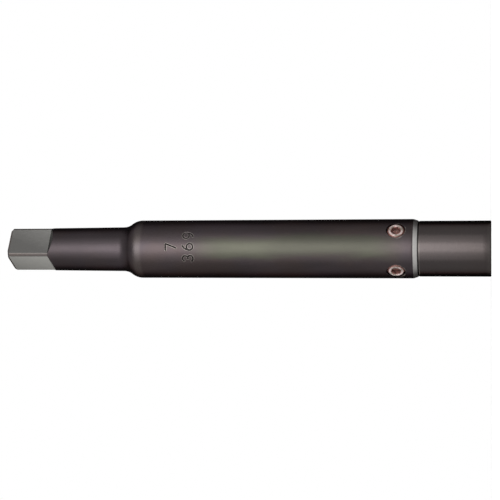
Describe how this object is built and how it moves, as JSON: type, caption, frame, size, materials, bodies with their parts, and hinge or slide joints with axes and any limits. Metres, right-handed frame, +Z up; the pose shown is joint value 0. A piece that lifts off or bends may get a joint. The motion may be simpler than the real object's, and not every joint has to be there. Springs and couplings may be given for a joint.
{
  "type": "tap extension",
  "caption": "Turned steel extension for a hand tap, with a milled drive square at one end and a broached socket with radial socket set screws at the other.",
  "frame": {"origin": "middle of the nose face, the socket end, on which the part stands", "axes": "+Z up the turning axis from the socket end to the drive square; +X and +Y through two of the set screws"},
  "size_m": [0.027, 0.027, 0.2254],
  "materials": {
    "black_oxide_steel": "satin black oxide",
    "worn_screw_steel": "worn, browned"
  },
  "bodies": {
    "extension": {"extension_body": "black_oxide_steel"},
    "screw_1": {"set_screw_1": "worn_screw_steel"},
    "screw_2": {"set_screw_2": "worn_screw_steel"},
    "screw_3": {"set_screw_3": "worn_screw_steel"},
    "screw_4": {"set_screw_4": "worn_screw_steel"}
  },
  "joints": [
    {"name": "screw_1_feed", "type": "slide", "parent": "extension", "child": "screw_1", "axis": [-1, 0, 0], "range_m": [-0.0025, 0.0007]},
    {"name": "screw_2_feed", "type": "slide", "parent": "extension", "child": "screw_2", "axis": [0, -1, 0], "range_m": [-0.0025, 0.0007]},
    {"name": "screw_3_feed", "type": "slide", "parent": "extension", "child": "screw_3", "axis": [1, 0, 0], "range_m": [-0.0025, 0.0007]},
    {"name": "screw_4_feed", "type": "slide", "parent": "extension", "child": "screw_4", "axis": [0, 1, 0], "range_m": [-0.0025, 0.0007]}
  ]
}
